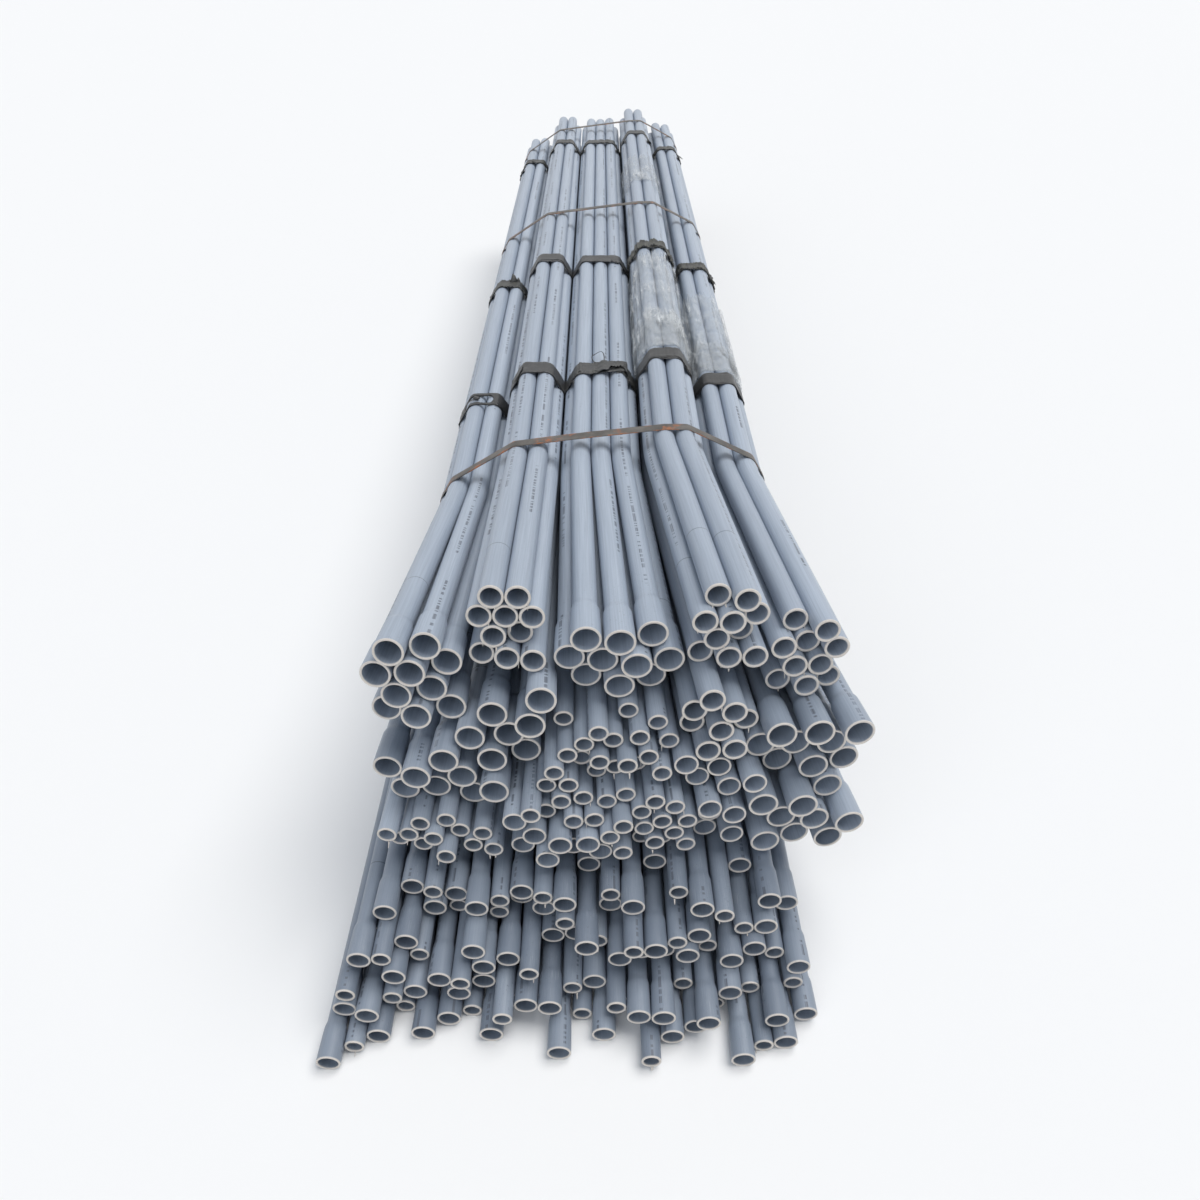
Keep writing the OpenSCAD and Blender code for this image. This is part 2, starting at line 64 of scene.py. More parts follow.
BURR_BELL = 0.00012     # and round the mouth of a bell
SHRED_THICK = 0.0003
SHRED_STEPS = 7
SHRED_COUNTS, SHRED_ODDS = [0, 0, 1, 2], [0.35, 0.25, 0.3, 0.1]
BAND_THICK = 0.0009
TAPE_THICK = 0.00028
FILM_THICK = 0.00012
LIFT_OFF = 0.0002       # what is wound round the conduits lies this far off them


# ---- small helpers ----------------------------------------------------------------------------


def unit(v):
    return v / np.linalg.norm(v)


def smooth(t):
    return t * t * (3 - 2 * t)


def make_mesh(name, verts, faces, uv, attributes=()):
    """A mesh object of quads; uv is a pair per face corner, attributes are (name, a float per vertex)."""
    mesh = bpy.data.meshes.new(name)
    mesh.from_pydata(np.asarray(verts, float).tolist(), [], np.asarray(faces, int).tolist())
    for attribute, values in attributes:
        layer = mesh.attributes.new(attribute, "FLOAT", "POINT")
        layer.data.foreach_set("value", np.asarray(values, np.float32))
    layer = mesh.uv_layers.new(name="UVMap")
    layer.data.foreach_set("uv", np.asarray(uv, np.float32).ravel())
    mesh.polygons.foreach_set("use_smooth", [True] * len(mesh.polygons))
    mesh.update()
    piece = bpy.data.objects.new(name, mesh)
    bpy.context.scene.collection.objects.link(piece)
    return piece


def quad_rows(below, above):
    """Faces between two closed rows of points and the places of their corners round the rows, 0 to 1."""
    count = len(below)
    i = np.arange(count)
    j = (i + 1) % count
    return np.column_stack([below[i], below[j], above[j], above[i]]), i / count, (i + 1) / count


class Parts:
    """Meshes gathered into one piece."""

    def __init__(self):
        self.verts, self.faces, self.uv, self.values = [], [], [], {}
        self.count = 0

    def add(self, verts, faces, uv, **values):
        self.verts.append(np.asarray(verts, float))
        self.faces.append(np.asarray(faces, int) + self.count)
        self.uv.append(np.asarray(uv, float).reshape(-1, 2))
        for name, value in values.items():
            self.values.setdefault(name, []).append(np.broadcast_to(value, len(verts)))
        self.count += len(verts)

    def piece(self, name):
        attributes = [(k, np.concatenate(v)) for k, v in self.values.items()]
        return make_mesh(name, np.concatenate(self.verts), np.concatenate(self.faces),
                         np.concatenate(self.uv), attributes)


# ---- reading the conduits from the frame --------------------------------------------------------


def islands(node):
    """The node's separate solids, each as an array of its points."""
    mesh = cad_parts[node].data
    co = np.empty(len(mesh.vertices) * 3)
    mesh.vertices.foreach_get("co", co)
    co = co.reshape(-1, 3)
    keys, index = np.unique(np.round(co, 6), axis=0, return_inverse=True)
    index = index.ravel()
    parent = np.arange(len(keys))

    def root(i):
        while parent[i] != i:
            parent[i] = parent[parent[i]]
            i = parent[i]
        return i

    for edge in mesh.edges:
        a, b = root(index[edge.vertices[0]]), root(index[edge.vertices[1]])
        if a != b:
            parent[a] = b
    roots = np.array([root(i) for i in range(len(keys))])
    return [keys[roots == r] for r in np.unique(roots)]


def rings(points):
    """Groups of an island's points that lie close together along Y, from the near end back."""
    points = points[np.argsort(points[:, 1])]
    cuts = np.where(np.diff(points[:, 1]) > END_WINDOW)[0] + 1
    return np.split(points, cuts)


def circle_middle(ring):
    """Middle of the largest circle that a ring's points lie on, seen along Y."""
    rough = ring.mean(0)
    off = np.hypot(ring[:, 0] - rough[0], ring[:, 2] - rough[2])
    outer = ring[off > 0.93 * off.max()]
    a = np.column_stack([2 * outer[:, 0], 2 * outer[:, 2], np.ones(len(outer))])
    b = outer[:, 0] ** 2 + outer[:, 2] ** 2
    x, z, _ = np.linalg.lstsq(a, b, rcond=None)[0]
    return np.array([x, outer[:, 1].mean(), z])


def radii(ring, middle, direction):
    """Inner and outer radius of a ring about an axis."""
    rel = ring - middle
    off = np.linalg.norm(rel - np.outer(rel @ direction, direction), axis=1)
    return off.min(), off.max()


BELL_STEP = 0.002       # an end this much wider than the other is belled
KNEE_FROM, KNEE_TO = 0.35, 1.0          # the bend lies this far behind the near end


def read_conduit(points):
    """One conduit's line and size from its solid: middles of its near end, of its bend if it has one,
    and of its far end, with its radii."""
    found = rings(points)
    near, far = found[0].mean(0), found[-1].mean(0)
    plain = [circle_middle(r) for r in found[1:-1]]
    inner_near, outer_near = radii(found[0], near, unit(near - plain[0] if plain else near - far))
    inner_far, outer_far = radii(found[-1], far, unit(far - near))
    outer, inner = min(outer_near, outer_far), min(inner_near, inner_far)
    bell = "near" if outer_near > outer + BELL_STEP else "far" if outer_far > outer + BELL_STEP else None
    bends = [m for m in plain if KNEE_FROM < m[1] - near[1] < KNEE_TO]
    knee = bends[0] if bends else None
    return {"near": near, "knee": knee, "far": far, "outer": outer, "inner": inner, "bell": bell,
            "bell_outer": max(outer_near, outer_far), "socket": max(inner_near, inner_far)}


class Line:
    """The middle line of a conduit, straight or with one smooth bend, walked from its near end."""

    def __init__(self, conduit):
        self.near, self.far, self.knee = conduit["near"], conduit["far"], conduit["knee"]
        if self.knee is None:
            self.length = np.linalg.norm(self.far - self.near)
            return
        self.front = np.linalg.norm(self.knee - self.near)
        self.length = self.front + np.linalg.norm(self.far - self.knee)
        self.to_knee = unit(self.knee - self.near)
        self.to_far = unit(self.far - self.knee)

    def at(self, s):
        if self.knee is None:
            return self.near + (self.far - self.near) * s / self.length, unit(self.far - self.near)
        if s <= self.front - BEND:
            return self.near + self.to_knee * s, self.to_knee
        if s >= self.front + BEND:
            return self.knee + self.to_far * (s - self.front), self.to_far
        t = (s - self.front + BEND) / (2 * BEND)
        start = self.knee - self.to_knee * BEND
        end = self.knee + self.to_far * BEND
        point = (1 - t) ** 2 * start + 2 * t * (1 - t) * self.knee + t * t * end
        return point, unit((1 - t) * self.to_knee + t * self.to_far)

    def bend_places(self, count):
        """Places along the line for count rings round its bend. A straight line needs none."""
        if self.knee is None:
            return []
        return list(np.linspace(self.front - BEND, self.front + BEND, count))


def end_profile(conduit, belled):
    """Outer and inner (distance from the end, radius, cut) of one end of a conduit, outside to inside.
    cut is 1 on the pale sawn face."""
    if belled:
        outer, inner = conduit["bell_outer"], conduit["socket"]
        depth = BELL_STRAIGHT * 2 * conduit["outer"]
        shoulder, neck = outer - BELL_GROWTH, conduit["outer"]
        outside = [(0.0, outer - RIM, 1), (RIM * 0.4, outer - RIM * 0.25, 1), (CREAM, outer, 0.6),
                   (CREAM * 2, outer, 0), (depth * 0.5, outer - BELL_GROWTH * 0.4, 0),
                   (depth * 0.92, shoulder, 0)]
        for t in np.arange(1, 6) / 6:
            outside.append((depth + SHOULDER * t, shoulder + (neck - shoulder) * smooth(t), 0))
        outside += [(depth + SHOULDER, neck, 0), (depth + BELL_CONE, neck, 0)]
        inside = [(0.0, inner + RIM * 0.5, 1), (RIM, inner, 0.8), (CREAM * 2, inner, 0), (depth, inner, 0),
                  (depth + BELL_CONE, conduit["inner"], 0)]
        return outside, inside
    outer, inner = conduit["outer"], conduit["inner"]
    outside = [(0.0, outer - RIM * 0.4, 1), (RIM * 0.5, outer, 1), (CREAM, outer, 0.7),
               (CREAM * 2, outer, 0)]
    inside = [(0.0, inner + RIM * 0.3, 1), (RIM, inner, 0.8), (CREAM * 2, inner, 0)]
    return outside, inside


def burr(count, rng, height):
    """A ragged lip round a sawn end, as a height at each of count places."""
    wave = np.zeros(count)
    angle = np.arange(count) * 2 * math.pi / count
    for k in range(2, 9):
        wave += rng.normal() / k * np.cos(k * angle + rng.uniform(0, 2 * math.pi))
    wave = np.clip(wave, -0.2, 1.6) * height
    return wave + rng.uniform(0, height * 0.5, count)


def whole_run(line, radius, near, far, rings):
    """The profile of a conduit's outside or inside from end to end: the near end's, the bend's rings
    and the far end's."""
    start, stop = near[-1][0] + RUN_START, line.length - far[-1][0] - RUN_START
    bend = [(s, radius, 0) for s in line.bend_places(rings) if start < s < stop]
    return near + bend + [(line.length - s, r, c) for s, r, c in reversed(far)]


def tube(conduit, sides, rng):
    """Points, faces and attributes of one conduit, as a closed tube."""
    line = Line(conduit)
    near_out, near_in = end_profile(conduit, conduit["bell"] == "near")
    far_out, far_in = end_profile(conduit, conduit["bell"] == "far")
    outside = whole_run(line, conduit["outer"], near_out, far_out, BEND_RINGS_OUT)
    inside = whole_run(line, conduit["inner"], near_in, far_in, BEND_RINGS_IN)
    loop = [(s, r, c, 0) for s, r, c in outside] + [(s, r, c, 1) for s, r, c in reversed(inside)]

    angles = np.arange(sides) * 2 * math.pi / sides
    # the printed line is mostly near the top
    turn = 0.25 + rng.normal() * 0.11 if rng.uniform() < 0.65 else rng.uniform(0, 1)
    ragged_near = burr(sides, rng, BURR_NEAR if conduit["bell"] != "near" else BURR_BELL)
    ragged_far = burr(sides, rng, BURR_FAR if conduit["bell"] != "far" else BURR_BELL)
    verts, cut, inner = [], [], []
    for s, r, c, within in loop:
        middle, direction = line.at(s)
        side = unit(np.cross(direction, (0, 0, 1)))
        up = np.cross(side, direction)
        ring = middle + r * (np.outer(np.cos(angles), side) + np.outer(np.sin(angles), up))
        if s < RIM * 0.1:
            ring = ring - np.outer(ragged_near * (1 if not within else 0.6), direction)
        elif s > line.length - RIM * 0.1:
            ring = ring + np.outer(ragged_far * (1 if not within else 0.6), direction)
        verts.append(ring)
        cut.append(np.full(sides, c))
        inner.append(np.full(sides, within))
    count = len(loop)
    row = np.arange(sides)
    faces, uv = [], []
    for k in range(count):
        n = (k + 1) % count
        quads, u0, u1 = quad_rows(row + k * sides, row + n * sides)
        s0, s1 = np.full(sides, loop[k][0]), np.full(sides, loop[n][0])
        faces.append(quads)
        uv.append(np.stack([np.column_stack(p) for p in ((s0, u0), (s0, u1), (s1, u1), (s1, u0))], 1))
    uv = np.concatenate(uv) + (0, turn)
    return np.concatenate(verts), np.concatenate(faces), uv, np.concatenate(cut), np.concatenate(inner)


def prism(sections):
    """A closed strip through sections of four points each, given one after another."""
    last = len(sections) - 4
    faces = [[k + i, k + (i + 1) % 4, k + 4 + (i + 1) % 4, k + 4 + i]
             for k in range(0, last, 4) for i in range(4)]
    faces += [[3, 2, 1, 0], [last, last + 1, last + 2, last + 3]]
    return np.array(sections), np.array(faces), np.zeros((len(faces), 4, 2))


def swarf(conduit, rng):
    """A shred of plastic hanging from the lip of a sawn end, as a thin curled prism."""
    line = Line(conduit)
    middle, direction = line.at(0)
    side = unit(np.cross(direction, (0, 0, 1)))
    up = np.cross(side, direction)
    angle = rng.uniform(math.pi * 1.05, math.pi * 1.95)
    out = math.cos(angle) * side + math.sin(angle) * up
    along = np.cross(out, direction)
    start = middle + out * (conduit["outer"] - rng.uniform(0.0004, 0.0022)) - direction * 0.0002
    length, width, curl = rng.uniform(0.003, 0.009), rng.uniform(0.0006, 0.0014), rng.uniform(-260, 260)
    sections, heading = [], rng.uniform(0.3, 1.4)
    place, down = start, np.array([0, 0, -1.0])
    for t in np.linspace(0, 1, SHRED_STEPS + 1):
        a = heading + curl * length * t
        way = unit(down * (0.35 + abs(math.sin(a))) - direction * math.cos(a))
        place = place + way * length / SHRED_STEPS
        w = along * width * (1 - 0.6 * t)
        lift = unit(np.cross(way, along)) * SHRED_THICK / 2
        sections += [place + w + lift, place - w + lift, place - w - lift, place + w - lift]
    return prism(sections)


def across(line, y):
    """Place along a line where it crosses the plane y."""
    s = min(max((y - line.near[1]), 0.0), line.length)
    for _ in range(4):
        point, direction = line.at(s)
        s += (y - point[1]) / direction[1]
    return line.at(s)[0]


# ---- what is wound round the conduits -----------------------------------------------------------


def hull_radius(circles, middle, angles):
    """Distance from middle to the tight outline round circles (x, z, radius), along each angle."""
    circles = np.asarray(circles)
    normals = np.linspace(0, 2 * math.pi, 1440, endpoint=False)
    n = np.column_stack([np.cos(normals), np.sin(normals)])
    support = ((circles[:, :2] - middle) @ n.T + circles[:, 2:3]).max(0)
    spread = np.cos(angles[:, None] - normals[None, :])
    return np.where(spread > 0.05, support[None, :] / np.maximum(spread, 0.05), 1e9).min(1)


class Winding:
    """The outline round a set of conduits, at any plane along Y."""

    def __init__(self, conduits, y0, y1, count):
        self.lines = [(Line(c), c["outer"]) for c in conduits]
        self.angles = np.arange(count) * 2 * math.pi / count
        self.planes = np.array([y0, (y0 + y1) / 2, y1])
        rows, middles = [], []
        for y in self.planes:
            points = [across(line, y) for line, r in self.lines]
            circles = [(p[0], p[2], r) for p, (line, r) in zip(points, self.lines)]
            middles.append(np.mean([(c[0], c[1]) for c in circles], 0))
            rows.append(hull_radius(circles, middles[-1], self.angles))
        self.rows, self.middles = np.array(rows), np.array(middles)

    def ring(self, y, out):
        """Points at every angle, at planes y and out metres outside the outline (both one per angle)."""
        count = len(self.angles)
        y = np.broadcast_to(y, count)
        t = np.clip((y - self.planes[0]) / (self.planes[2] - self.planes[0]), 0, 1) * 2
        i = (t >= 1).astype(int)
        f = t - i
        k = np.arange(count)
        r = self.rows[i, k] * (1 - f) + self.rows[i + 1, k] * f
        m = self.middles[i] * (1 - f)[:, None] + self.middles[i + 1] * f[:, None]
        return np.column_stack([m[:, 0] + (r + out) * np.cos(self.angles), y,
                                m[:, 1] + (r + out) * np.sin(self.angles)])


def wound_strip(winding, near, far, lift, thick, rows):
    """A closed ring of strip with a plain underside. near and far are its edges in Y at every angle;
    lift(v) its clearance at every angle for a place v across it, 0 to 1."""
    count = len(winding.angles)
    places = np.linspace(0, 1, rows)
    lifts = np.array([np.broadcast_to(lift(v), count) for v in places])
    verts = [winding.ring(near + (far - near) * v, up + thick) for v, up in zip(places, lifts)]
    verts += [winding.ring(edge, lifts.min(0)) for edge in (near, far)]
    under_near, under_far = rows, rows + 1
    faces, uv = [], []
    row = np.arange(count)

    def wall(below, above, v0, v1):
        quads, u0, u1 = quad_rows(row + below * count, row + above * count)
        faces.append(quads)
        c0, c1 = np.full(count, v0), np.full(count, v1)
        uv.append(np.stack([np.column_stack(p) for p in ((u0, c0), (u1, c0), (u1, c1), (u0, c1))], 1))

    for j in range(rows - 1):
        wall(j + 1, j, places[j + 1], places[j])
    wall(under_near, under_far, 0, 1)
    wall(0, under_near, 0, 0)
    wall(under_far, rows - 1, 1, 1)
    return np.concatenate(verts), np.concatenate(faces), np.concatenate(uv)


def waves(rng, count, low, high, scale):
    """A smooth closed wave of count places, its periods from low to high to a turn."""
    angle = np.arange(count) * 2 * math.pi / count
    total = np.zeros(count)
    for k in range(low, high):
        total += rng.normal() * np.cos(k * angle + rng.uniform(0, 2 * math.pi))
    return total * scale / math.sqrt((high - low) / 2)


# ---- finishes -----------------------------------------------------------------------------------


def finish_of(name, base, roughness):
    """A Principled finish, with its node tree, its shader and a way to make nodes."""
    material = bpy.data.materials.new(name)
    material.use_nodes = True
    tree = material.node_tree
    shader = tree.nodes["Principled BSDF"]
    shader.inputs["Base Color"].default_value = (*base, 1)
    shader.inputs["Roughness"].default_value = roughness
    return material, tree, shader


class Wire:
    """Short ways to make and join shader nodes."""

    def __init__(self, tree):
        self.tree = tree

    def node(self, kind, **settings):
        made = self.tree.nodes.new(kind)
        for key, value in settings.items():
            setattr(made, key, value)
        return made

    def put(self, socket, value):
        if isinstance(value, bpy.types.NodeSocket):
            self.tree.links.new(value, socket)
        elif value is not None:
            socket.default_value = value

    def math(self, operation, a, b=None, c=None, clamp=False):
        made = self.node("ShaderNodeMath", operation=operation, use_clamp=clamp)
        for socket, value in zip(made.inputs, (a, b, c)):
            self.put(socket, value)
        return made.outputs[0]

    def span(self, value, low, high, to_low=0.0, to_high=1.0):
        made = self.node("ShaderNodeMapRange", clamp=True)
        for socket, v in zip(made.inputs, (value, low, high, to_low, to_high)):
            self.put(socket, v)
        return made.outputs[0]

    def mix(self, factor, a, b):
        made = self.node("ShaderNodeMix", data_type="RGBA")
        self.put(made.inputs[0], factor)
        self.put(made.inputs[6], a if isinstance(a, bpy.types.NodeSocket) else (*a, 1))
        self.put(made.inputs[7], b if isinstance(b, bpy.types.NodeSocket) else (*b, 1))
        return made.outputs[2]

    def attribute(self, name):
        return self.node("ShaderNodeAttribute", attribute_name=name).outputs["Fac"]

    def uv(self):
        made = self.node("ShaderNodeSeparateXYZ")
        self.tree.links.new(self.node("ShaderNodeTexCoord").outputs["UV"], made.inputs[0])
        return made.outputs[0], made.outputs[1]

    def vector(self, x, y, z):
        made = self.node("ShaderNodeCombineXYZ")
        for socket, value in zip(made.inputs, (x, y, z)):
            self.put(socket, value)
        return made.outputs[0]

    def noise(self, vector, scale, detail=2.0, roughness=0.5):
        made = self.node("ShaderNodeTexNoise")
        self.put(made.inputs["Vector"], vector)
        made.inputs["Scale"].default_value = scale
        made.inputs["Detail"].default_value = detail
        made.inputs["Roughness"].default_value = roughness
        return made.outputs[0]

    def position(self):
        return self.node("ShaderNodeNewGeometry").outputs["Position"]

    def bump(self, height, strength, distance):
        made = self.node("ShaderNodeBump")
        made.inputs["Strength"].default_value = strength
        made.inputs["Distance"].default_value = distance
        self.put(made.inputs["Height"], height)
        return made.outputs["Normal"]


PVC = (0.425, 0.485, 0.57)
PVC_DARK = (0.175, 0.21, 0.265)
PVC_RUBBED = (0.53, 0.565, 0.61)
CUT = (0.72, 0.655, 0.575)
INK = (0.085, 0.095, 0.12)
GRIME = (0.06, 0.062, 0.066)


def pvc():
    material, tree, shader = finish_of("pvc", PVC, 0.42)
    w = Wire(tree)
    along, turn = w.uv()
    tone, cut, inner = w.attribute("tone"), w.attribute("cut"), w.attribute("inner")
    drawn = w.vector(w.math("MULTIPLY", along, 1.5), w.math("MULTIPLY", turn, 9), tone)
    streaks = w.noise(drawn, 6, 3)
    cloud = w.noise(w.position(), 9, 3)
    # the conduit's tone darkens it towards PVC_DARK: partly a random tone, partly a painted shade on the
    # low-lying conduits
    body = w.mix(w.span(tone, 0, 1, 0, 1), PVC_DARK, PVC)
    body = w.mix(w.span(streaks, 0.35, 0.75, 0, 0.35), body, PVC_DARK)
    # scuffs and dust lie along the length
    scuff = w.noise(w.vector(w.math("MULTIPLY", along, 7), w.math("MULTIPLY", turn, 60), tone), 5, 2)
    rubbed = w.math("MULTIPLY", w.span(scuff, 0.6, 0.72), w.span(cloud, 0.4, 0.7, 0, 0.5))
    body = w.mix(rubbed, body, PVC_RUBBED)
    speck = w.noise(w.position(), 420, 1)
    soiled = w.math("MULTIPLY", w.span(speck, 0.68, 0.76), w.span(cloud, 0.45, 0.7, 0, 0.4))
    body = w.mix(soiled, body, GRIME)
    # a line of print down one side, as plain dashes
    strip = w.math("ABSOLUTE", w.math("SUBTRACT", w.math("FRACT", turn), 0.5))
    cell = w.node("ShaderNodeTexWhiteNoise", noise_dimensions="2D")
    w.put(cell.inputs["Vector"], w.vector(w.math("FLOOR", w.math("MULTIPLY", along, 300)),
                                          w.math("FLOOR", w.math("MULTIPLY", tone, 997)), 0.0))
    group = w.noise(w.vector(w.math("MULTIPLY", along, 4), w.math("MULTIPLY", tone, 31), 0.0), 1.0, 0)
    printed = w.math("MULTIPLY", w.math("LESS_THAN", strip, 0.02),
                     w.math("MULTIPLY", w.math("GREATER_THAN", cell.outputs[0], 0.45),
                            w.math("GREATER_THAN", group, 0.47)))
    printed = w.math("MULTIPLY", printed, w.math("LESS_THAN", inner, 0.5))
    body = w.mix(w.math("MULTIPLY", printed, w.span(streaks, 0.35, 0.6, 0.35, 0.8)), body, INK)
    # a dark ring now and then, left by the saw bench
    ring_at = w.span(w.math("FRACT", w.math("MULTIPLY", tone, 7.31)), 0, 1, 0.03, 0.22)
    ring = w.math("LESS_THAN", w.math("ABSOLUTE", w.math("SUBTRACT", along, ring_at)), 0.0009)
    ringed = w.math("GREATER_THAN", w.math("FRACT", w.math("MULTIPLY", tone, 3.7)), 0.72)
    ring = w.math("MULTIPLY", ring, ringed)
    body = w.mix(w.math("MULTIPLY", ring, 0.5), body, GRIME)
    sawn = w.mix(w.span(w.noise(w.position(), 700, 1), 0.3, 0.7, 0, 0.3), CUT, PVC)
    w.put(shader.inputs["Base Color"], w.mix(cut, body, sawn))
    w.put(shader.inputs["Roughness"], w.math("ADD", w.span(scuff, 0.3, 0.7, 0.36, 0.5),
                                            w.math("MULTIPLY", cut, 0.3), clamp=True))
    relief = w.math("MULTIPLY_ADD", streaks, 0.6, w.math("MULTIPLY", scuff, 0.3))
    w.put(shader.inputs["Normal"], w.bump(relief, 0.12, 0.002))
    return material


STEEL = (0.060, 0.056, 0.052)
STEEL_WORN = (0.16, 0.15, 0.14)
RUST = (0.30, 0.10, 0.03)


def strapping():
    material, tree, shader = finish_of("strapping", STEEL, 0.5)
    w = Wire(tree)
    _, cross = w.uv()
    place = w.position()
    patch, grain = w.noise(place, 22, 4, 0.6), w.noise(place, 160, 3)
    edge = w.span(w.math("ABSOLUTE", w.math("SUBTRACT", cross, 0.5)), 0.34, 0.5)
    body = w.mix(w.span(patch, 0.35, 0.65), STEEL, STEEL_WORN)
    body = w.mix(w.math("MULTIPLY", edge, 0.6), body, GRIME)
    rusty = w.span(w.math("ADD", w.noise(place, 34, 5, 0.65), w.math("MULTIPLY", edge, 0.12)), 0.58, 0.68)
    rusty = w.math("MULTIPLY", rusty, w.span(grain, 0.3, 0.55))
    body = w.mix(rusty, body, RUST)
    w.put(shader.inputs["Base Color"], body)
    w.put(shader.inputs["Metallic"], w.span(rusty, 0, 1, 0.65, 0))
    w.put(shader.inputs["Roughness"], w.span(patch, 0.3, 0.7, 0.4, 0.62))
    w.put(shader.inputs["Normal"], w.bump(grain, 0.2, 0.0006))
    return material


TAPE_DARK = (0.022, 0.023, 0.025)
TAPE_WORN = (0.048, 0.049, 0.050)
TAPE_OLIVE = (0.075, 0.076, 0.058)


def dark_tape():
    material, tree, shader = finish_of("dark_tape", TAPE_DARK, 0.4)
    w = Wire(tree)
    place = w.position()
    patch = w.noise(place, 30, 4)
    dust = w.noise(place, 9, 3)
    body = w.mix(w.span(patch, 0.4, 0.7, 0, 0.7), TAPE_DARK, TAPE_WORN)
    body = w.mix(w.span(dust, 0.5, 0.8, 0, 0.1), body, PVC_DARK)
    aged = w.attribute("aged")
    body = w.mix(w.math("MULTIPLY", aged, w.span(w.noise(place, 90, 4), 0.4, 0.7)), body, TAPE_OLIVE)
    w.put(shader.inputs["Base Color"], body)
    w.put(shader.inputs["Roughness"], w.span(patch, 0.3, 0.7, 0.34, 0.6))
    w.put(shader.inputs["Normal"], w.bump(w.noise(place, 240, 3), 0.35, 0.0012))
    return material


FILM = (0.74, 0.775, 0.80)


def clear_film():
    material, tree, shader = finish_of("clear_film", FILM, 0.2)
    w = Wire(tree)
    place = w.node("ShaderNodeSeparateXYZ")
    w.put(place.inputs[0], w.position())
    drawn = w.vector(place.outputs[0], w.math("MULTIPLY", place.outputs[1], 0.16), place.outputs[2])
    streak = w.span(w.noise(drawn, 95, 4, 0.6), 0.55, 0.68)
    fold = w.span(w.attribute("folded"), 0.25, 0.8)
    clouded = w.span(w.noise(w.position(), 11, 3), 0.42, 0.66)
    thin = w.span(w.noise(w.position(), 40, 4), 0.35, 0.75, 0.05, 0.2)
    # folds and streaks make the film whiter and less clear: partly the creased film's own whitening, partly
    # a painted highlight along the crinkles
    white = w.math("ADD", w.math("MULTIPLY", streak, 0.45), w.math("MULTIPLY", fold, 0.4))
    veil_and_highlight = w.math("MULTIPLY", clouded, white)
    w.put(shader.inputs["Alpha"], w.math("ADD", thin, veil_and_highlight, clamp=True))
    w.put(shader.inputs["Normal"], w.bump(w.noise(drawn, 260, 3), 0.3, 0.002))
    return material


conduit_finish, band_finish, tape_finish, film_finish = pvc(), strapping(), dark_tape(), clear_film()


def put_on(piece, material, slot, *nodes):
    piece.data.materials.append(material)
    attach(piece, "root")
    for node in nodes:
        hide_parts(node)
    return piece


# ---- the conduits -------------------------------------------------------------------------------

wound = [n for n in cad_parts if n.startswith(("steel_band", "tape_", "film"))]
conduit_nodes = sorted(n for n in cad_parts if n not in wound)
conduits = {}
# how light the conduits are, 0 to 1: those in a pack lightest, those in the heap darker and the loose ones
# darkest. The lower-lying groups are darker as a painted shade, darkest for the loose ones under the
# overhanging ends. Within each range the tone differs at random
TONE_AND_SHADE_RANGES = {"taped": (0.7, 1.0), "heap": (0.3, 0.9), "loose": (0.0, 0.4)}
rng = np.random.default_rng(11)
for node in conduit_nodes:
    tones = TONE_AND_SHADE_RANGES.get(node.split("_")[0], TONE_AND_SHADE_RANGES["heap"])
    conduits[node] = [read_conduit(points) for points in islands(node)]
    parts = Parts()
    for conduit in conduits[node]:
        tone = rng.uniform(*tones)
        sides = SIDES_LARGE if conduit["outer"] > LARGE_RADIUS else SIDES_SMALL
        verts, faces, uv, cut, inner = tube(conduit, sides, rng)
        parts.add(verts, faces, uv, tone=tone, cut=cut, inner=inner)
        if conduit["bell"] != "near":
            for _ in range(rng.choice(SHRED_COUNTS, p=SHRED_ODDS)):
                parts.add(*swarf(conduit, rng), tone=tone, cut=1, inner=0)
    put_on(parts.piece("look_" + node), conduit_finish, "conduit", node)

banded = [c for node in conduit_nodes if not node.startswith("loose") for c in conduits[node]]
PACK = "taped_pack_"
packs = {node[len(PACK):]: conduits[node] for node in conduit_nodes if node.startswith(PACK)}

# ---- the steel bands ----------------------------------------------------------------------------

BAND_COUNT, BAND_ROWS = 420, 7          # places round a band, and across it
BAND_SWAY = 0.0006      # it wanders by this along the conduits
BAND_SLACK = 0.00012
BAND_CROWN = 0.0003     # its middle stands this far above its edges


def steel_band(node):
    low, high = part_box(node)
    rng = np.random.default_rng(len(node))
    winding = Winding(banded, low.y, high.y, BAND_COUNT)
    sway = waves(rng, BAND_COUNT, 2, 7, BAND_SWAY)
    slack = np.abs(waves(rng, BAND_COUNT, 3, 24, BAND_SLACK))

    def lift(v):
        return LIFT_OFF + slack + BAND_CROWN * (1 - (2 * v - 1) ** 2)

    parts = Parts()
    parts.add(*wound_strip(winding, low.y + sway, high.y + sway, lift, BAND_THICK, BAND_ROWS))
    put_on(parts.piece("look_" + node), band_finish, "band", node)


for node in sorted(n for n in wound if n.startswith("steel_band")):
    steel_band(node)

# ---- the tape -----------------------------------------------------------------------------------

TAPE_COUNT, TAPE_ROWS = 300, 9          # places round a turn of tape, and across it
TAPE_TURNS = 3
TURN_STEP = 0.0006      # each turn lies this far above the one before
EDGE_WANDER = 0.0009
CREASE, FINE_CREASE, EDGE_ROLL = 0.0008, 0.0004, 0.0006


def window(angles, middle, half, soft=0.12):
    """1 within half of the angle middle, 0 away from it, smooth between."""
    off = np.abs((angles - middle + math.pi) % (2 * math.pi) - math.pi)
    return smooth(np.clip((half + soft - off) / soft, 0, 1))


def jags(rng, count, high):
    """A torn edge: depths of up to high at count places, with sharp points."""
    rough = np.abs(waves(rng, count, 9, 50, high * 0.4))
    return np.minimum(rough + np.where(rng.uniform(size=count) < 0.12, rng.uniform(0, high, count), 0), high)


